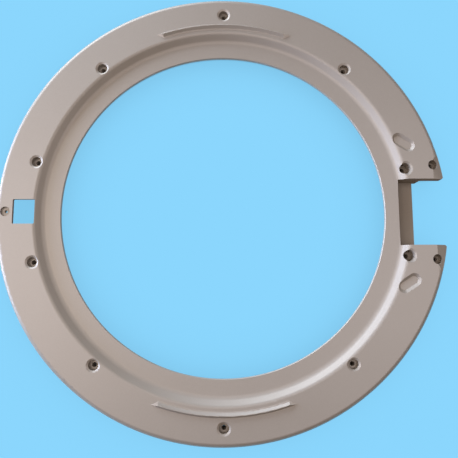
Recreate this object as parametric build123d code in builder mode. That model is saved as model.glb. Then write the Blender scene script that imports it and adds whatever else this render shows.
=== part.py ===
"""Inner door ring of a front-loading washing machine: one moulded plastic piece.

Millimetres. The ring lies on the rear edge of its glass collar with the drum side facing up.
The origin is on the ring's axis at that rear edge, +Z is the drum side, +X points to the hinge
notch and -X to the latch window.
"""
from build123d import *
from math import asin, cos, hypot, radians, sin
import os

os.makedirs("parts", exist_ok=True)

# Ring section, from the outer edge inwards
outer_diameter = 402.0
flange_width = 33.6
slope_run = 6.5
rim_width = 15.7
total_height = 22.0
skirt_depth = 10.0
wall = 3.0
outer_edge_fillet = 4.5

# Step from the flange down to the rim in front of the glass
slope_drop = 5.2
rim_fall = 0.3
rim_wall = 2.7
slope_top_fillet = 5.0
slope_foot_fillet = 7.0
rim_edge_chamfer = 0.5

# Collar behind the rim, round the flange of the glass bowl
glass_overlap = 7.5
collar_wall = 2.5
collar_end_chamfer = 0.6

# Radial ribs behind the flange
rib_count = 24
rib_wall = 1.8
rib_flat = 20.0
rib_root_gap = 2.0

# Screw cups sunk into the front
cup_diameter = 8.8
cup_depth = 5.5
cup_lip_width = 1.6
cup_lip_depth = 0.8
cup_wall = 2.2
cup_post_end = 4.0
pilot_diameter = 4.2
screw_offset = 5.6
screw_angle = 50.0
latch_screw_angle = 15.0
edge_screw_margin = 16.0

# Wider and deeper cups beside the hinge notch
hinge_cup_diameter = 9.8
hinge_cup_depth = 10.5
hinge_cup_offset = 1.0
hinge_cup_angle = 13.5

# Shallow cup at the outer edge, beside the latch window
latch_cup_diameter = 8.4
latch_cup_depth = 2.6
latch_cup_margin = 8.4
latch_cup_wall = 1.0
latch_cup_floor = 3.8
latch_pilot_diameter = 2.6

# Flat bevel on the hinge side, with a cup on its inner line at each end
bevel_width = 12.5
bevel_angle = 18.0
bevel_cup_diameter = 8.6
bevel_cup_depth = 7.5
bevel_cup_pitch = 85.0

# Hinge notch, open to the outside, with a stepped seat at the rear
notch_width = 59.6
notch_depth = 43.2
notch_wall = 2.5
notch_corner_chamfer = 1.8
seat_depth = 18.0
seat_thickness = 3.0
seat_step_height = 0.8
seat_step_width = 5.0
seat_post_width = 3.5

# Latch window
window_length = 19.1
window_width = 21.8
window_edge_margin = 14.9
window_corner_fillet = 0.8

# Raised beads across the top and the bottom of the flange: gentler inside, steep outside
bead_offset = 7.0
bead_inner_run = 3.0
bead_outer_run = 1.8
bead_height = 2.5
bead_foot_fillet = 2.5
bead_crest_fillet = 0.5
bead_end_angle = 40.0
bead_end_sweep = 45.0
bead_span = 41.0

# Shallow obround pads beside the hinge notch
pad_length = 22.4
pad_width = 11.8
pad_depth = 1.8
pad_taper = 55.0
pad_offset = 7.2
pad_centre_angle = 21.3
pad_turn = 32.0

# How far a cutter stands out of the face that it starts from
cut_margin = 1.0

# Radii and heights that follow from the sizes above
outer_r = outer_diameter / 2
slope_top_r = outer_r - flange_width
slope_foot_r = slope_top_r - slope_run
opening_r = slope_foot_r - rim_width
seat_r = opening_r + glass_overlap
collar_r = seat_r + collar_wall
skirt_r = outer_r - wall
skirt_z = total_height - skirt_depth
foot_z = total_height - slope_drop
rim_z = foot_z - rim_fall
rim_under_z = rim_z - rim_wall
roof_z = total_height - wall

# Hinge notch lines
notch_half = notch_width / 2
notch_x = outer_r - notch_depth
seat_end_x = notch_x + seat_depth
seat_step_x = seat_end_x - seat_step_width
hinge_box_half = notch_half + notch_wall
hinge_box_x = seat_r + collar_wall / 2
hinge_box_end_x = seat_end_x + seat_post_width
mouth_x = outer_r * cos(asin(notch_half / outer_r)) - notch_corner_chamfer

# Bevel plane, through its inner line on the front face
bevel_x = outer_r - bevel_width
bevel_normal = (sin(radians(bevel_angle)), 0, cos(radians(bevel_angle)))
bevel_plane = Plane(origin=(bevel_x, 0, total_height), x_dir=(0, 1, 0), z_dir=bevel_normal)


def polar_point(radius, angle):
    """Point on the front face, at an angle in degrees from the hinge notch."""
    return (radius * cos(radians(angle)), radius * sin(radians(angle)), total_height)


def hidden_slope_r(z):
    """Radius of the slope's rear face at a height, one wall behind its front face."""
    slope_length = hypot(slope_run, slope_drop)
    start_r = slope_foot_r + wall * slope_drop / slope_length
    start_z = foot_z - wall * slope_run / slope_length
    return start_r + (z - start_z) * slope_run / slope_drop


def lipped_cup(diameter, depth, pilot):
    """Cutter for a screw cup, its mouth at the origin: sloping lip, cup and pilot hole."""
    cup_r = diameter / 2
    lip_r = cup_r + cup_lip_width
    with BuildPart() as cutter:
        with BuildSketch(Plane.XZ):
            with BuildLine():
                Polyline((cup_r, -cup_lip_depth), (cup_r, -depth), (pilot / 2, -depth))
                Polyline((pilot / 2, -depth), (pilot / 2, -total_height), (0, -total_height))
                Polyline((0, -total_height), (0, cut_margin), (lip_r, cut_margin), (lip_r, 0))
                Line((lip_r, 0), (cup_r, -cup_lip_depth))
            make_face()
        revolve(axis=Axis.Z)
    return cutter.part


# Screw places on the front face
screw_r = slope_top_r + screw_offset
screw_points = [polar_point(outer_r - edge_screw_margin, angle) for angle in (90, 270)]
for side in (1, -1):
    screw_points.append(polar_point(screw_r, side * screw_angle))
    screw_points.append(polar_point(screw_r, 180 - side * screw_angle))
    screw_points.append(polar_point(screw_r, 180 - side * latch_screw_angle))
hinge_cup_r = slope_top_r + hinge_cup_offset
hinge_points = [polar_point(hinge_cup_r, side * hinge_cup_angle) for side in (1, -1)]
bevel_points = [(bevel_x, side * bevel_cup_pitch / 2, total_height) for side in (1, -1)]
latch_points = [polar_point(outer_r - latch_cup_margin, 180)]

# Each kind of cup: its places, diameter, depth and pilot hole
lipped_cups = [
    (screw_points, cup_diameter, cup_depth, pilot_diameter),
    (hinge_points, hinge_cup_diameter, hinge_cup_depth, pilot_diameter),
]
bevel_cups = (bevel_points, bevel_cup_diameter, bevel_cup_depth, pilot_diameter)
latch_cups = (latch_points, latch_cup_diameter, latch_cup_depth, latch_pilot_diameter)
lipped_cutters = [(points, lipped_cup(*sizes)) for points, *sizes in lipped_cups]

# Radius of the post behind each cup but the shallow one
cup_posts = [(points, diameter / 2 + cup_wall) for points, diameter, *rest in lipped_cups + [bevel_cups]]

# Hollow behind the flange, less the ribs, the cup posts, the hinge box and the bevel's wall
with BuildPart() as hollow:
    with BuildSketch(Plane.XZ):
        with BuildLine():
            Polyline(
                (collar_r, -cut_margin),
                (collar_r, rim_under_z),
                (hidden_slope_r(rim_under_z), rim_under_z),
                (hidden_slope_r(roof_z), roof_z),
                (skirt_r, roof_z),
                (skirt_r, -cut_margin),
                close=True,
            )
        make_face()
    revolve(axis=Axis.Z)
    with PolarLocations((collar_r + skirt_r) / 2, rib_count, start_angle=180 / rib_count):
        Box(skirt_r - collar_r + wall, rib_wall, 2 * total_height, mode=Mode.SUBTRACT)
    for points, post_r in cup_posts:
        with Locations(*points):
            Cylinder(
                post_r,
                total_height - cup_post_end,
                align=(Align.CENTER, Align.CENTER, Align.MAX),
                mode=Mode.SUBTRACT,
            )
    with Locations(*latch_points):
        Cylinder(
            latch_cup_diameter / 2 + latch_cup_wall,
            latch_cup_depth + latch_cup_floor,
            align=(Align.CENTER, Align.CENTER, Align.MAX),
            mode=Mode.SUBTRACT,
        )
    with Locations((hinge_box_x, 0, 0)):
        Box(
            outer_r,
            2 * hinge_box_half,
            2 * total_height,
            align=(Align.MIN, Align.CENTER, Align.CENTER),
            mode=Mode.SUBTRACT,
        )
    split(bisect_by=bevel_plane.offset(-wall), keep=Keep.BOTTOM)

# Bead about the X axis, one half made and mirrored, its end sloping down and swept to the outside
bead_r = slope_top_r + bead_offset
bead_foot_r = bead_r - bead_inner_run
bead_root_r = bead_foot_r - bead_foot_fillet
bead_outer_r = bead_r + bead_outer_run
bead_crest_z = total_height + bead_height
bead_root_z = total_height - wall / 2
bead_end_turn = radians(bead_span / 2 + 90 + bead_end_sweep)
bead_end_tilt = radians(bead_end_angle)
bead_end_normal = (
    cos(bead_end_turn) * sin(bead_end_tilt),
    sin(bead_end_turn) * sin(bead_end_tilt),
    cos(bead_end_tilt),
)
bead_end_plane = Plane(origin=polar_point(bead_outer_r, bead_span / 2), z_dir=bead_end_normal)
with BuildPart() as bead:
    with BuildSketch(Plane.XZ) as bead_section:
        with BuildLine():
            Polyline(
                (bead_root_r, bead_root_z),
                (bead_root_r, total_height),
                (bead_foot_r, total_height),
                (bead_r, bead_crest_z),
                (bead_outer_r, total_height),
                (bead_outer_r, bead_root_z),
                close=True,
            )
        make_face()
        for corner, radius in (
            ((bead_foot_r, total_height), bead_foot_fillet),
            ((bead_r, bead_crest_z), bead_crest_fillet),
        ):
            fillet(bead_section.vertices().sort_by_distance(Vector(*corner))[0], radius)
    revolve(axis=Axis.Z, revolution_arc=bead_span / 2)
    split(bisect_by=bead_end_plane, keep=Keep.BOTTOM)
    mirror(about=Plane.XZ)

# Ring: its outside form, hollowed, then bevelled, notched, pierced and beaded
with BuildPart() as ring:
    with BuildSketch(Plane.XZ) as section:
        with BuildLine():
            Polyline(
                (opening_r, rim_under_z),
                (opening_r, rim_z),
                (slope_foot_r, foot_z),
                (slope_top_r, total_height),
                (outer_r, total_height),
                (outer_r, skirt_z),
                (outer_r - rib_flat, skirt_z),
                (collar_r, rib_root_gap),
                (collar_r, 0),
                (seat_r, 0),
                (seat_r, rim_under_z),
                close=True,
            )
        make_face()
        for corner, radius in (
            ((slope_foot_r, foot_z), slope_foot_fillet),
            ((slope_top_r, total_height), slope_top_fillet),
            ((outer_r, total_height), outer_edge_fillet),
        ):
            fillet(section.vertices().sort_by_distance(Vector(*corner))[0], radius)
        for corner, length in (
            ((opening_r, rim_z), rim_edge_chamfer),
            ((seat_r, 0), collar_end_chamfer),
        ):
            chamfer(section.vertices().sort_by_distance(Vector(*corner))[0], length)
    revolve(axis=Axis.Z)

    # Box round the hinge notch, down to the rear edge
    with Locations((hinge_box_x, 0, 0)):
        Box(
            hinge_box_end_x - hinge_box_x,
            2 * hinge_box_half,
            rim_under_z,
            align=(Align.MIN, Align.CENTER, Align.MIN),
        )
    add(hollow.part, mode=Mode.SUBTRACT)
    split(bisect_by=bevel_plane, keep=Keep.BOTTOM)

    # Posts behind the cups, which stand out past the ribs
    for points, post_r in cup_posts:
        with Locations(*[(x, y, cup_post_end) for x, y, z in points]):
            Cylinder(
                post_r,
                rim_under_z - cup_post_end,
                align=(Align.CENTER, Align.CENTER, Align.MIN),
            )

    # Hinge notch and its stepped seat
    with BuildSketch(Plane.XZ):
        with BuildLine():
            Polyline(
                (notch_x, total_height + cut_margin),
                (notch_x, seat_thickness),
                (seat_step_x, seat_thickness),
                (seat_step_x, seat_thickness - seat_step_height),
                (seat_end_x, seat_thickness - seat_step_height),
                (seat_end_x, -cut_margin),
                (outer_r + cut_margin, -cut_margin),
                (outer_r + cut_margin, total_height + cut_margin),
                close=True,
            )
        make_face()
    extrude(amount=notch_half, both=True, mode=Mode.SUBTRACT)

    # Corners of the notch's mouth, cut off at 45 degrees
    with BuildSketch():
        with BuildLine():
            Polyline(
                (mouth_x, notch_half),
                (outer_r + cut_margin, notch_half + outer_r + cut_margin - mouth_x),
                (outer_r + cut_margin, -notch_half - outer_r - cut_margin + mouth_x),
                (mouth_x, -notch_half),
                close=True,
            )
        make_face()
    extrude(amount=total_height, mode=Mode.SUBTRACT)

    # Latch window
    with BuildSketch(Plane.XY.offset(total_height)):
        with Locations((window_length / 2 + window_edge_margin - outer_r, 0)):
            RectangleRounded(window_length, window_width, window_corner_fillet)
    extrude(amount=-total_height, mode=Mode.SUBTRACT)

    # Obround pads, mirrored about the notch
    with BuildSketch(Plane.XY.offset(total_height)):
        for side in (1, -1):
            centre = polar_point(slope_top_r + pad_offset, side * pad_centre_angle)
            with Locations(centre[:2]):
                SlotOverall(pad_length, pad_width, rotation=-side * pad_turn)
    extrude(amount=-pad_depth, taper=pad_taper, mode=Mode.SUBTRACT)

    # Screw cups
    for points, cutter in lipped_cutters:
        with Locations(*points):
            add(cutter, mode=Mode.SUBTRACT)
    for points, diameter, depth, pilot in (bevel_cups, latch_cups):
        with Locations(*points):
            CounterBoreHole(pilot / 2, diameter / 2, depth)

    # Beads at the top and the bottom
    for middle in (90, 270):
        add(bead.part, rotation=(0, 0, middle))

ring.part.label = "inner_door_ring"
export_step(ring.part, "parts/inner_door_ring.step")
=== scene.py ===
"""Inner door ring of a front-loading washing machine: its finish, its stage and its camera.

Metres, in the ring's own frame: the ring lies on its rear edge at z = 0 with the drum side up, its
axis on the Z axis, the hinge notch towards +X and the latch window towards -X.
"""

import bmesh
import bpy
import numpy as np
from bpy.props import FloatProperty, FloatVectorProperty, PointerProperty
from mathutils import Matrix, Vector


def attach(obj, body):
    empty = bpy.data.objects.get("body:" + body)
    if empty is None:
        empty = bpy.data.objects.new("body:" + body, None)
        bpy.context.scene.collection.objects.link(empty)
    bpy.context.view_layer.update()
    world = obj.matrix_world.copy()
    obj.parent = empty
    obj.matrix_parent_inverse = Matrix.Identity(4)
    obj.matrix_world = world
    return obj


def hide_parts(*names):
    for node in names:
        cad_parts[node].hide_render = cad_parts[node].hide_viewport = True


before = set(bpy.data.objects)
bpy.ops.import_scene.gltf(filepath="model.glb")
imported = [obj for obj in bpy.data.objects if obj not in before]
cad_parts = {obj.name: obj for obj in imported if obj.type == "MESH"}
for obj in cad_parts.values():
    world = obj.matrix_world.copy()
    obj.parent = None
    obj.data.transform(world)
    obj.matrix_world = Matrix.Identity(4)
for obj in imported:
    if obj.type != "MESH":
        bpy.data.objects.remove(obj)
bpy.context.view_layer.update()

bl_info = {
    "name": "Washing machine inner door ring",
    "version": (1, 0, 0),
    "blender": (4, 5, 0),
    "location": "View3D > Sidebar > Door ring",
    "description": "Paints the moulded door ring and sets its stage, lamps and camera",
    "category": "Object",
}

RING_NODE = "inner_door_ring"
RING_BODY = "root"
MILLIMETRE = 0.001

# Height of the flange
FLANGE_HEIGHT = 22.0 * MILLIMETRE

# Front of the ring: its height at the opening, and the sine of its slope at radii out to the outer edge
OPENING_EDGE = 145.3 * MILLIMETRE
OPENING_HEIGHT = 16.5117 * MILLIMETRE
FRONT_SLOPES = (
    (0.1457, 0.0191),
    (0.15852, 0.0191),
    (0.16276, 0.6247),
    (0.16603, 0.6247),
    (0.16915, 0.0),
    (0.1965, 0.0),
    (0.201, -1.0),
)

# Beads: the sine of their slope at radii from the inner foot to the outer foot, and half their turn
BEAD_SLOPES = (
    (0.1689, 0.0),
    (0.170495, 0.0),
    (0.172096, 0.6402),
    (0.173988, 0.6402),
    (0.174714, -0.8116),
    (0.1762, -0.8116),
)
BEAD_TURN = np.radians(20.5)

# Floor under the flange: the radii over which its deep shadow sets in, and those over which it ends
SHADOW_START = (0.15, 0.156)
SHADOW_END = (0.198, 0.206)

# Share of the room that the floor sees where that shadow is deepest, and where it has gone
SHADOW_OPENNESS = (0.15, 0.6)

# Patches of floor lit through the latch window and the hinge notch: side of the Y axis, least x, half width
LIT_PATCHES = ((-1.0, 0.164, 0.016), (1.0, 0.15, 0.03))
LIT_EDGE = 5.0 * MILLIMETRE

# Where the moulding has straight walls: the bevel and notch, then the window (low x, high x, half width)
STRAIGHT_BOXES = ((0.15, 0.3, 0.08), (-0.19, -0.16, 0.012))

# Painted shade, from full shade to none: how far a surface faces up, and how much of the room it sees
STEEP_SHADE_FACING = (0.05, 0.7)
RECESS_SHADE_OPENNESS = (0.2, 0.5)

# Share of the low-shade height below which the painted shade is full
LOW_SHADE_END = 0.4

# Least cosine that a rise is worked out with, because the outer edge ends upright
LEAST_COSINE = 0.1

# Mark above which a point of the ring's copy lies on the front: a cut edge's new point has its ends' mean
FRONT_MARK = 0.99

# Width of the camera's sensor, in the millimetres that its focal length is given in
SENSOR_WIDTH = 36.0


class PaintProperties(bpy.types.PropertyGroup):
    """Sizes and colours of the ring's satin paint."""

    paint: FloatVectorProperty(
        name="Paint",
        description="Colour of the satin paint",
        subtype="COLOR",
        min=0,
        max=1,
        default=(0.495, 0.472, 0.45),
    )
    cloud: FloatVectorProperty(
        name="Thin paint",
        description="Colour where the spray lies a little thinner",
        subtype="COLOR",
        min=0,
        max=1,
        default=(0.479, 0.454, 0.43),
    )
    # Darker colour painted as shade on steep walls, low places and deep holes
    painted_shade: FloatVectorProperty(
        name="Bare plastic",
        description="Colour of the moulding where hardly any spray settles: steep walls and deep holes",
        subtype="COLOR",
        min=0,
        max=1,
        default=(0.38, 0.345, 0.31),
    )
    # Reach of the painted shade: walls nearer than this darken a surface
    recess_shade_reach: FloatProperty(
        name="Spray reach",
        description="How far off a wall keeps the spray from a surface",
        unit="LENGTH",
        default=12 * MILLIMETRE,
    )
    # Height above the rear edge below which the painted shade sets in
    low_shade_height: FloatProperty(
        name="Spray depth",
        description="Height above the rear edge down to which the front is fully painted",
        unit="LENGTH",
        default=14 * MILLIMETRE,
    )
    cloud_size: FloatProperty(
        name="Cloud size",
        description="Size of the patches of thinner spray",
        unit="LENGTH",
        default=28 * MILLIMETRE,
    )
    flake_size: FloatProperty(
        name="Flake size",
        description="Size of the grain that the flakes in the paint give",
        unit="LENGTH",
        default=0.9 * MILLIMETRE,
    )
    flake_contrast: FloatProperty(
        name="Flake contrast",
        description="How much lighter and darker than the paint the grain is",
        subtype="FACTOR",
        min=0,
        max=1,
        default=0.05,
    )
    peel_size: FloatProperty(
        name="Peel size",
        description="Size of the soft dimples that sprayed paint dries with",
        unit="LENGTH",
        default=1.6 * MILLIMETRE,
    )
    peel_height: FloatProperty(
        name="Peel height",
        description="Height of the dimples",
        unit="LENGTH",
        default=0.004 * MILLIMETRE,
    )
    metal: FloatProperty(
        name="Metal share",
        description="Share of the light that the metal flakes in the paint send back",
        subtype="FACTOR",
        min=0,
        max=1,
        default=0.4,
    )
    roughness: FloatProperty(
        name="Roughness",
        description="Roughness of the satin paint",
        subtype="FACTOR",
        min=0,
        max=1,
        default=0.5,
    )
    roughness_range: FloatProperty(
        name="Roughness range",
        description="How much the roughness varies over the paint",
        subtype="FACTOR",
        min=0,
        max=1,
        default=0.1,
    )


class StageProperties(bpy.types.PropertyGroup):
    """Floor, lamps and camera."""

    floor: FloatVectorProperty(
        name="Floor",
        description="Colour that the camera sees the floor in",
        subtype="COLOR",
        min=0,
        max=1,
        default=(0.258, 0.672, 0.982),
    )
    bounce: FloatVectorProperty(
        name="Bounce",
        description="Colour in which the floor sends the lamps' light back to the ring",
        subtype="COLOR",
        min=0,
        max=1,
        default=(0.6, 0.6, 0.6),
    )
    floor_radius: FloatProperty(
        name="Floor radius",
        description="Radius of the round floor",
        unit="LENGTH",
        default=4.0,
    )
    shade_reach: FloatProperty(
        name="Shade reach",
        description="How far the ring's soft shadow reaches over the floor",
        unit="LENGTH",
        default=50 * MILLIMETRE,
    )
    shade_depth: FloatProperty(
        name="Shade depth",
        description="How much the ring's soft shadow darkens the floor",
        subtype="FACTOR",
        min=0,
        max=1,
        default=0.2,
    )
    key_place: FloatVectorProperty(
        name="Key place",
        description="Where the low lamp on the latch side stands",
        subtype="TRANSLATION",
        default=(-1.945, 0.204, 0.416),
    )
    key_size: FloatVectorProperty(
        name="Key size",
        description="Width and height of the low lamp on the latch side",
        unit="LENGTH",
        size=2,
        default=(1.5, 0.7),
    )
    key_power: FloatProperty(
        name="Key power",
        description="Power of the low lamp on the latch side",
        unit="POWER",
        default=43.4,
    )
    key_colour: FloatVectorProperty(
        name="Key colour",
        description="Colour of the low lamp on the latch side",
        subtype="COLOR",
        min=0,
        max=1,
        default=(0.72, 0.793, 1.0),
    )
    side_place: FloatVectorProperty(
        name="Side place",
        description="Where the low lamp beyond the top of the ring stands",
        subtype="TRANSLATION",
        default=(-0.951, 1.647, 0.618),
    )
    side_size: FloatVectorProperty(
        name="Side size",
        description="Width and height of the low lamp beyond the top of the ring",
        unit="LENGTH",
        size=2,
        default=(1.5, 0.7),
    )
    side_power: FloatProperty(
        name="Side power",
        description="Power of the low lamp beyond the top of the ring",
        unit="POWER",
        default=28.0,
    )
    side_colour: FloatVectorProperty(
        name="Side colour",
        description="Colour of the low lamp beyond the top of the ring",
        subtype="COLOR",
        min=0,
        max=1,
        default=(0.891, 0.95, 1.0),
    )
    left_place: FloatVectorProperty(
        name="Left place",
        description="Where the high lamp over the latch side stands",
        subtype="TRANSLATION",
        default=(-0.704, 0.0, 1.324),
    )
    left_size: FloatVectorProperty(
        name="Left size",
        description="Width and height of the high lamp over the latch side",
        unit="LENGTH",
        size=2,
        default=(0.9, 0.9),
    )
    left_power: FloatProperty(
        name="Left power",
        description="Power of the high lamp over the latch side",
        unit="POWER",
        default=6.9,
    )
    left_colour: FloatVectorProperty(
        name="Left colour",
        description="Colour of the high lamp over the latch side",
        subtype="COLOR",
        min=0,
        max=1,
        default=(1.0, 0.855, 0.757),
    )
    right_place: FloatVectorProperty(
        name="Right place",
        description="Where the high lamp over the hinge side stands",
        subtype="TRANSLATION",
        default=(0.704, 0.0, 1.324),
    )
    right_size: FloatVectorProperty(
        name="Right size",
        description="Width and height of the high lamp over the hinge side",
        unit="LENGTH",
        size=2,
        default=(0.9, 0.9),
    )
    right_power: FloatProperty(
        name="Right power",
        description="Power of the high lamp over the hinge side",
        unit="POWER",
        default=4.5,
    )
    right_colour: FloatVectorProperty(
        name="Right colour",
        description="Colour of the high lamp over the hinge side",
        subtype="COLOR",
        min=0,
        max=1,
        default=(1.0, 0.909, 0.898),
    )
    sky: FloatVectorProperty(
        name="Sky",
        description="Colour of the light from all round",
        subtype="COLOR",
        min=0,
        max=1,
        default=(0.099, 0.062, 0.029),
    )
    camera_place: FloatVectorProperty(
        name="Camera place",
        description="Where the camera stands",
        subtype="TRANSLATION",
        default=(-0.0014, -0.0699, 0.4538),
    )
    camera_turn: FloatVectorProperty(
        name="Camera turn",
        description="How the camera is turned from looking straight down",
        subtype="EULER",
        default=np.radians((7.143, -0.785, -0.125)),
    )
    camera_lens: FloatProperty(
        name="Camera lens",
        description="Focal length on a 36 mm sensor",
        unit="CAMERA",
        default=38.82,
    )


class Value:
    """A shader socket that can be added, subtracted and multiplied like a number."""

    def __init__(self, shader, socket):
        self.shader = shader
        self.socket = socket

    def math(self, operation, first, second):
        return self.shader.node("ShaderNodeMath", {"operation": operation}, {0: first, 1: second})

    def __add__(self, other):
        return self.math("ADD", self, other)

    def __sub__(self, other):
        return self.math("SUBTRACT", self, other)

    def __rsub__(self, other):
        return self.math("SUBTRACT", other, self)

    def __mul__(self, other):
        return self.math("MULTIPLY", self, other)

    __radd__ = __add__
    __rmul__ = __mul__


class Shader:
    """The node tree of a material or of the world, filled by one method."""

    def __init__(self, owner):
        owner.use_nodes = True
        self.tree = owner.node_tree
        self.tree.nodes.clear()

    def node(self, kind, settings, inputs, output=0):
        """Adds a node, sets its settings, then sets or links its sockets, and returns one output."""
        made = self.tree.nodes.new(kind)
        for name, setting in settings.items():
            setattr(made, name, setting)
        for name, value in inputs.items():
            if isinstance(value, Value):
                self.tree.links.new(value.socket, made.inputs[name])
            else:
                made.inputs[name].default_value = value
        return Value(self, made.outputs[output]) if made.outputs else None

    def coordinates(self, kind):
        """Where a point lies on the piece, or how its surface is turned."""
        return self.node("ShaderNodeTexCoord", {}, {}, kind)

    def axis(self, vector, name):
        """One of the three numbers of a vector."""
        return self.node("ShaderNodeSeparateXYZ", {}, {"Vector": vector}, name)

    def reach(self, place):
        """Distance of a place from the Z axis."""
        flat = self.node("ShaderNodeVectorMath", {"operation": "MULTIPLY"}, {0: place, 1: (1.0, 1.0, 0.0)})
        return self.node("ShaderNodeVectorMath", {"operation": "LENGTH"}, {0: flat}, "Value")

    def ray(self, kind):
        """1 for light rays of a kind, and 0 for others."""
        return self.node("ShaderNodeLightPath", {}, {}, kind)

    def noise(self, place, size, detail):
        """Noise from 0 to 1 whose grain has a real size."""
        return self.node(
            "ShaderNodeTexNoise",
            {"noise_dimensions": "3D"},
            {"Vector": place, "Scale": 1 / size, "Detail": detail, "Roughness": 0.5},
        )

    def between(self, value, low, high):
        """Soft step from 0 at low to 1 at high."""
        return self.node(
            "ShaderNodeMapRange",
            {"interpolation_type": "SMOOTHSTEP"},
            {"Value": value, "From Min": low, "From Max": high},
        )

    def openness(self, reach, samples):
        """Share of the room that a surface sees past whatever stands nearer than reach."""
        return self.node("ShaderNodeAmbientOcclusion", {"samples": samples}, {"Distance": reach}, "AO")

    def mixed(self, share, first, second, blend="MIX"):
        """Mix of two colours, which are the node's sockets 6 and 7, with the result in its output 2."""
        settings = {"data_type": "RGBA", "blend_type": blend}
        return self.node("ShaderNodeMix", settings, {"Factor": share, 6: first, 7: second}, 2)


def opaque(colour):
    """A colour property as the four numbers that a colour socket takes."""
    return (*colour, 1.0)


def satin_paint(look):
    """Warm silver-grey satin paint: cloudy spray, flake grain and soft dimples, and a darker matt plastic
    for painted shade.

    The painted shade lies on steep walls, though not round the edge of the opening, on low places near the
    rear edge, and where a surface sees little of the room, such as deep in the screw cups.
    """
    material = bpy.data.materials.new("satin_paint")
    shader = Shader(material)
    place = shader.coordinates("Object")
    clouds = shader.noise(place, look.cloud_size, detail=2)
    flakes = shader.noise(place, look.flake_size, detail=1)
    dimples = shader.noise(place, look.peel_size, detail=2)
    upward = shader.axis(shader.coordinates("Normal"), "Z")
    height = shader.axis(place, "Z")
    # Painted shade: its share grows on steep walls, though not round the opening's edge, in low places and
    # where a surface sees little of the room
    past_opening = shader.between(shader.reach(place), OPENING_EDGE, FRONT_SLOPES[0][0])
    steep = (1.0 - shader.between(upward, *STEEP_SHADE_FACING)) * past_opening
    painted = (
        (1.0 - steep)
        * shader.between(height, LOW_SHADE_END * look.low_shade_height, look.low_shade_height)
        * shader.between(shader.openness(look.recess_shade_reach, samples=12), *RECESS_SHADE_OPENNESS)
    )
    spray = shader.mixed(clouds, opaque(look.paint), opaque(look.cloud))
    grain = (flakes - 0.5) * (2 * look.flake_contrast) + 1.0
    grain_colour = shader.node("ShaderNodeCombineColor", {}, {0: grain, 1: grain, 2: grain})
    colour = shader.mixed(1.0, spray, grain_colour, "MULTIPLY")
    roughness = (flakes - 0.5) * look.roughness_range + look.roughness
    bump = shader.node(
        "ShaderNodeBump",
        {},
        {"Strength": 1.0, "Distance": look.peel_height, "Height": dimples},
    )
    paint = shader.node(
        "ShaderNodeBsdfPrincipled",
        {},
        {"Base Color": colour, "Metallic": look.metal, "Roughness": roughness, "Normal": bump},
    )
    # Darker matt plastic without shine that stands in for shade
    shade_colour = shader.mixed(1.0, opaque(look.painted_shade), grain_colour, "MULTIPLY")
    plastic = shader.node(
        "ShaderNodeBsdfPrincipled",
        {},
        {"Base Color": shade_colour, "Roughness": 1.0, "Specular IOR Level": 0.0, "Normal": bump},
    )
    surface = shader.node("ShaderNodeMixShader", {}, {0: painted, 1: plastic, 2: paint})
    shader.node("ShaderNodeOutputMaterial", {}, {"Surface": surface})
    return material


def mesh_array(items, name, width, kind=np.float32):
    """One property of all the items of a mesh, as an array of rows."""
    values = np.empty(width * len(items), kind)
    items.foreach_get(name, values)
    return values.reshape(-1, width) if width > 1 else values


class Section:
    """Section of a surface that is turned about the Z axis, from its first knot's height.

    Between two knots the sine s of the slope is a line in the radius r. Where s changes, that is an
    arc whose radius is the knots' step in r over their step in s, negative where the arc bulges; the
    arc's middle lies at r - s * radius, z + c * radius, with c = sqrt(1 - s * s). Where s does not
    change, it is a straight line with the rise s / c.
    """

    def __init__(self, knots, start):
        self.radii, self.sines = np.transpose(knots)
        cosines = np.sqrt(1 - self.sines**2)
        steps = np.diff(self.radii)
        turns = np.diff(self.sines)
        self.round = turns != 0
        self.bends = steps / np.where(self.round, turns, 1.0)
        lines = steps * self.sines[1:] / np.maximum(cosines[1:], LEAST_COSINE)
        rises = np.where(self.round, -self.bends * np.diff(cosines), lines)
        self.heights = start + np.concatenate([[0.0], np.cumsum(rises)])
        self.middles = np.column_stack([
            self.radii[:-1] - self.sines[:-1] * self.bends,
            self.heights[:-1] + cosines[:-1] * self.bends,
        ])

    def settle(self, reach, z):
        """Nearest places on the section, and the normals there, both as rows of (radius, height)."""
        part = np.clip(np.searchsorted(self.radii, reach) - 1, 0, len(self.bends) - 1)
        places = np.column_stack([reach, z])
        inward = self.middles[part] - places
        length = np.linalg.norm(inward, axis=1)[:, None]
        inward *= np.sign(self.bends[part])[:, None] / length
        on_arc = self.middles[part] - inward * self.bends[part][:, None]
        sine = self.sines[part]
        cosine = np.sqrt(1 - sine**2)
        rise = sine / np.maximum(cosine, LEAST_COSINE)
        on_line = np.column_stack([reach, self.heights[part] + (reach - self.radii[part]) * rise])
        arc = self.round[part][:, None]
        return np.where(arc, on_arc, on_line), np.where(arc, inward, np.column_stack([-sine, cosine]))


def cut_edges(mesh, chosen):
    """Cuts the chosen edges of a mesh in half."""
    shape = bmesh.new()
    shape.from_mesh(mesh)
    edges = [edge for edge, wanted in zip(shape.edges, chosen) if wanted]
    bmesh.ops.subdivide_edges(shape, edges=edges, cuts=1)
    shape.to_mesh(mesh)
    shape.free()


def inside_boxes(points, boxes):
    """Which points lie in one of the boxes with straight walls."""
    inside = np.zeros(len(points), bool)
    for low_x, high_x, half_width in boxes:
        inside |= (points[:, 0] > low_x) & (points[:, 0] < high_x) & (np.abs(points[:, 1]) < half_width)
    return inside


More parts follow.
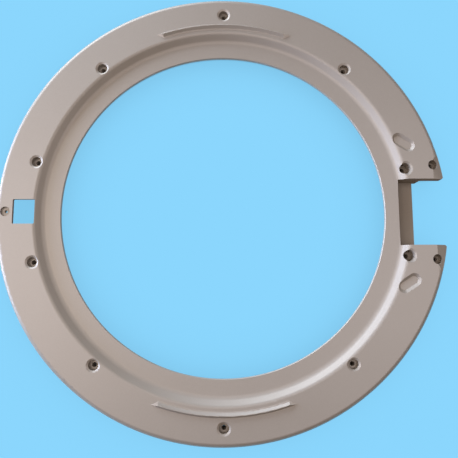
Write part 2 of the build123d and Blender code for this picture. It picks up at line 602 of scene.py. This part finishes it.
def rounded_copy(node, front, merge_gap, front_gap, passes, step, bend_step, straight_boxes):
    """Copy of a CAD node's mesh whose long chords are cut up and bent to the arcs they stand for.

    Points nearer than merge_gap become one, and those within front_gap of the front lie on it. A new
    point on the front goes to the nearest place on the front's section. Any other new point keeps its
    height and angle, and its (x, y) is multiplied by reach / hypot(x, y), where reach lies between the
    radii of its edge's ends. In each pass an edge is cut in half if it turns about the
    Z axis by more than step, or if its slope on the front changes by more than bend_step. Edges in the
    straight boxes are cut only on the front.
    """
    mesh = node.data.copy()
    shape = bmesh.new()
    shape.from_mesh(mesh)
    bmesh.ops.remove_doubles(shape, verts=shape.verts, dist=merge_gap)
    shape.to_mesh(mesh)
    shape.free()
    points = mesh_array(mesh.vertices, "co", 3)
    reach = np.hypot(points[:, 0], points[:, 1])
    places, normals = front.settle(reach, points[:, 2])
    on_front = np.hypot(places[:, 0] - reach, places[:, 1] - points[:, 2]) < front_gap
    for name, values in (("reach", reach), ("front", on_front), ("slope", np.arcsin(-normals[:, 0]))):
        mesh.attributes.new(name, "FLOAT", "POINT").data.foreach_set("value", values.astype(np.float32))
    for _ in range(passes):
        points = mesh_array(mesh.vertices, "co", 3)
        ends = mesh_array(mesh.edges, "vertices", 2, np.int32)
        fronts = (mesh_array(mesh.attributes["front"].data, "value", 1) > FRONT_MARK)[ends].all(axis=1)
        slopes = mesh_array(mesh.attributes["slope"].data, "value", 1)[ends]
        turns = np.arctan2(points[:, 1], points[:, 0])[ends]
        turn = np.abs((turns[:, 1] - turns[:, 0] + np.pi) % (2 * np.pi) - np.pi)
        straight = inside_boxes(points, straight_boxes)[ends].all(axis=1)
        bent = fronts & (np.abs(slopes[:, 1] - slopes[:, 0]) > bend_step)
        cut_edges(mesh, bent | (turn > step) & ~straight)
    points = mesh_array(mesh.vertices, "co", 3)
    far = np.hypot(points[:, 0], points[:, 1])
    wanted = mesh_array(mesh.attributes["reach"].data, "value", 1)
    on_front = mesh_array(mesh.attributes["front"].data, "value", 1) > FRONT_MARK
    places, _ = front.settle(wanted, points[:, 2])
    wanted = np.where(on_front, places[:, 0], wanted)
    points[:, 2] = np.where(on_front, places[:, 1], points[:, 2])
    points[:, :2] *= (wanted / far)[:, None]
    mesh.vertices.foreach_set("co", points.ravel())
    for name in ("reach", "front", "slope"):
        mesh.attributes.remove(mesh.attributes[name])
    return mesh


def mark_sharp_edges(mesh, flat_angle, sharp_angle, bead_angle, bead_height):
    """Makes flat faces whole, and every edge smooth whose faces turn by less than sharp_angle.

    The beads, which stand above bead_height, are rounder: there the limit is bead_angle.
    """
    shape = bmesh.new()
    shape.from_mesh(mesh)
    bmesh.ops.dissolve_limit(shape, angle_limit=flat_angle, verts=shape.verts, edges=shape.edges)
    for edge in shape.edges:
        on_bead = max(vertex.co.z for vertex in edge.verts) > bead_height
        edge.smooth = edge.calc_face_angle(0.0) < (bead_angle if on_bead else sharp_angle)
    for face in shape.faces:
        face.smooth = True
    shape.to_mesh(mesh)
    shape.free()


def shade_sections(mesh, sections, gap, angle, panel_area, end_foot, end_top, end_share):
    """Gives turned surfaces the normals of their sections, so that the triangles of curves do not show.

    Each section comes with half the turn, either side of the Y axis, that it reaches. Corners off
    every section by more than gap, or on faces turned from it by more than angle, keep their own
    normals, and faces larger than panel_area are shaded flat. The bead ends, which rise from end_foot
    to end_top, lean over to the flange's normal towards their foot, as if they were round, and keep at
    least end_share of their own.
    """
    points = mesh_array(mesh.vertices, "co", 3)[mesh_array(mesh.loops, "vertex_index", 1, np.int32)]
    corners = mesh_array(mesh.polygons, "loop_total", 1, np.int32)
    face_of = np.repeat(np.arange(len(mesh.polygons)), corners)
    flat = mesh_array(mesh.polygons, "normal", 3)[face_of]
    large = mesh_array(mesh.polygons, "area", 1)[face_of] > panel_area
    normals = np.where(large[:, None], flat, mesh_array(mesh.corner_normals, "vector", 3))
    reach = np.hypot(points[:, 0], points[:, 1])
    out = points[:, :2] / reach[:, None]
    starts = mesh_array(mesh.polygons, "loop_start", 1, np.int32)
    on_bead = np.maximum.reduceat(points[:, 2], starts)[face_of] > end_foot + gap
    rise = np.clip((points[:, 2] - end_foot) / (end_top - end_foot), end_share, 1.0)[:, None]
    leaned = rise * normals + (1 - rise) * np.array((0.0, 0.0, 1.0))
    leaned /= np.linalg.norm(leaned, axis=1)[:, None]
    normals = np.where(on_bead[:, None], leaned, normals)
    for section, half_turn in sections:
        places, turned = section.settle(reach, points[:, 2])
        turned = np.column_stack([turned[:, :1] * out, turned[:, 1]])
        near = np.hypot(places[:, 0] - reach, places[:, 1] - points[:, 2]) < gap
        along = np.einsum("ij,ij->i", turned, flat) > np.cos(angle)
        within = np.arccos(np.minimum(np.abs(out[:, 1]), 1.0)) < half_turn
        normals = np.where((near & along & within & ~large)[:, None], turned, normals)
    mesh.normals_split_custom_set(normals.tolist())


class DOORRING_OT_paint(bpy.types.Operator):
    """Make the ring's smooth skin over the moulded solid and paint it"""

    bl_idname = "door_ring.paint"
    bl_label = "Paint the ring"

    def execute(self, context):
        look = context.scene.door_ring_paint
        front = Section(FRONT_SLOPES, OPENING_HEIGHT)
        bead = Section(BEAD_SLOPES, FLANGE_HEIGHT)
        mesh = rounded_copy(
            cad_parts[RING_NODE],
            front,
            merge_gap=0.001 * MILLIMETRE,
            front_gap=0.01 * MILLIMETRE,
            passes=3,
            step=np.radians(1.4),
            bend_step=np.radians(9),
            straight_boxes=STRAIGHT_BOXES,
        )
        mark_sharp_edges(
            mesh,
            flat_angle=np.radians(0.03),
            sharp_angle=np.radians(24),
            bead_angle=np.radians(80),
            bead_height=FLANGE_HEIGHT + 0.05 * MILLIMETRE,
        )
        shade_sections(
            mesh,
            ((front, np.pi), (bead, BEAD_TURN)),
            gap=0.03 * MILLIMETRE,
            angle=np.radians(14),
            panel_area=60 * MILLIMETRE**2,
            end_foot=FLANGE_HEIGHT,
            end_top=FLANGE_HEIGHT + 2.2 * MILLIMETRE,
            end_share=0.5,
        )
        mesh.materials.clear()
        mesh.materials.append(satin_paint(look))
        skin = bpy.data.objects.new("painted_ring", mesh)
        context.scene.collection.objects.link(skin)
        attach(skin, RING_BODY)
        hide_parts(RING_NODE)
        return {"FINISHED"}


def round_floor(radius, rings, spokes):
    """Flat disc: point (i, j) lies at radius times i / rings, turned by j / spokes of a full turn."""
    reach = radius * np.arange(1, rings + 1) / rings
    turn = 2 * np.pi * np.arange(spokes) / spokes
    x = np.outer(reach, np.cos(turn)).ravel()
    y = np.outer(reach, np.sin(turn)).ravel()
    points = np.vstack([np.zeros((1, 3)), np.column_stack([x, y, np.zeros_like(x)])])
    here = 1 + np.arange(rings * spokes).reshape(rings, spokes)
    beside = np.roll(here, -1, axis=1)
    middle = np.column_stack([np.zeros(spokes, int), here[0], beside[0]])
    bands = np.stack([here[:-1], here[1:], beside[1:], beside[:-1]], axis=-1).reshape(-1, 4)
    mesh = bpy.data.meshes.new("floor")
    mesh.from_pydata(points.tolist(), [], middle.tolist() + bands.tolist())
    return mesh


def pale_floor(stage):
    """Plain floor: the camera sees its colour with a soft shadow, the ring gets neutral light from it.

    The shadow is faint where the floor still sees much of the room. It is deep under the flange, from
    the collar out to the skirt, but for the patches that the latch window and the hinge notch light.
    """
    material = bpy.data.materials.new("pale_floor")
    shader = Shader(material)
    shown = shader.ray("Is Camera Ray") + shader.ray("Is Glossy Ray") + shader.ray("Is Transmission Ray")
    place = shader.coordinates("Object")
    reach = shader.reach(place)
    along = shader.axis(place, "X")
    across = shader.axis(place, "Y")
    covered = shader.between(reach, *SHADOW_START) * (1.0 - shader.between(reach, *SHADOW_END))
    for side, low_x, half_width in LIT_PATCHES:
        beyond = shader.between(along * side, low_x, low_x + LIT_EDGE)
        aside = shader.between(across * across, half_width**2, (half_width + LIT_EDGE) ** 2)
        covered = covered * (1.0 - beyond * (1.0 - aside))
    openness = shader.openness(stage.shade_reach, samples=16)
    shadow = covered * (1.0 - shader.between(openness, *SHADOW_OPENNESS))
    shade = (1.0 - shadow) * (openness * stage.shade_depth + (1.0 - stage.shade_depth))
    lit_colour = shader.mixed(shade, opaque((0.0, 0.0, 0.0)), opaque(stage.floor))
    lit = shader.node("ShaderNodeEmission", {}, {"Color": lit_colour, "Strength": 1.0})
    neutral = shader.node("ShaderNodeBsdfDiffuse", {}, {"Color": opaque(stage.bounce)})
    surface = shader.node("ShaderNodeMixShader", {}, {0: shown, 1: neutral, 2: lit})
    shader.node("ShaderNodeOutputMaterial", {}, {"Surface": surface})
    return material


def panel_lamp(name, place, size, power, colour):
    """Soft box of a width and height that looks at the middle of the ring."""
    lamp = bpy.data.lights.new(name, "AREA")
    lamp.shape = "RECTANGLE"
    lamp.size, lamp.size_y = size
    lamp.energy = power
    lamp.color = colour
    holder = bpy.data.objects.new(name, lamp)
    bpy.context.scene.collection.objects.link(holder)
    holder.location = place
    holder.rotation_euler = Vector(place).to_track_quat("Z", "Y").to_euler()


def soft_sky(world, light, shown):
    """Even light from all round, which the camera sees in the floor's colour."""
    shader = Shader(world)
    seen = shader.ray("Is Camera Ray")
    glow = shader.node("ShaderNodeBackground", {}, {"Color": opaque(light), "Strength": 1.0})
    backdrop = shader.node("ShaderNodeBackground", {}, {"Color": opaque(shown), "Strength": 1.0})
    surface = shader.node("ShaderNodeMixShader", {}, {0: seen, 1: glow, 2: backdrop})
    shader.node("ShaderNodeOutputWorld", {}, {"Surface": surface})


class DOORRING_OT_stage(bpy.types.Operator):
    """Set the floor, the lamps and the camera"""

    bl_idname = "door_ring.stage"
    bl_label = "Set the stage"

    def execute(self, context):
        scene = context.scene
        stage = scene.door_ring_stage
        floor = bpy.data.objects.new("floor", round_floor(stage.floor_radius, rings=8, spokes=96))
        floor.data.materials.append(pale_floor(stage))
        scene.collection.objects.link(floor)
        panel_lamp("key_lamp", stage.key_place, stage.key_size, stage.key_power, stage.key_colour)
        panel_lamp("side_lamp", stage.side_place, stage.side_size, stage.side_power, stage.side_colour)
        panel_lamp("left_lamp", stage.left_place, stage.left_size, stage.left_power, stage.left_colour)
        panel_lamp("right_lamp", stage.right_place, stage.right_size, stage.right_power, stage.right_colour)
        scene.world = bpy.data.worlds.new("studio")
        soft_sky(scene.world, stage.sky, stage.floor)
        eye = bpy.data.objects.new("camera", bpy.data.cameras.new("camera"))
        eye.data.sensor_width = SENSOR_WIDTH
        eye.data.lens = stage.camera_lens
        eye.location = stage.camera_place
        eye.rotation_euler = stage.camera_turn
        scene.collection.objects.link(eye)
        scene.camera = eye
        scene.view_settings.view_transform = "Standard"
        return {"FINISHED"}


class DOORRING_PT_sidebar(bpy.types.Panel):
    """The ring's sizes and colours, with a button for each step"""

    bl_idname = "DOORRING_PT_sidebar"
    bl_label = "Inner door ring"
    bl_space_type = "VIEW_3D"
    bl_region_type = "UI"
    bl_category = "Door ring"

    def draw(self, context):
        for operator, group in (
            (DOORRING_OT_paint, context.scene.door_ring_paint),
            (DOORRING_OT_stage, context.scene.door_ring_stage),
        ):
            box = self.layout.box()
            for name in group.__annotations__:
                box.prop(group, name)
            box.operator(operator.bl_idname)


CLASSES = (
    PaintProperties,
    StageProperties,
    DOORRING_OT_paint,
    DOORRING_OT_stage,
    DOORRING_PT_sidebar,
)


def register():
    for cls in CLASSES:
        bpy.utils.register_class(cls)
    bpy.types.Scene.door_ring_paint = PointerProperty(type=PaintProperties)
    bpy.types.Scene.door_ring_stage = PointerProperty(type=StageProperties)


def unregister():
    del bpy.types.Scene.door_ring_stage
    del bpy.types.Scene.door_ring_paint
    for cls in reversed(CLASSES):
        bpy.utils.unregister_class(cls)


def main():
    register()
    bpy.ops.door_ring.paint()
    bpy.ops.door_ring.stage()


if __name__ == "__main__":
    main()
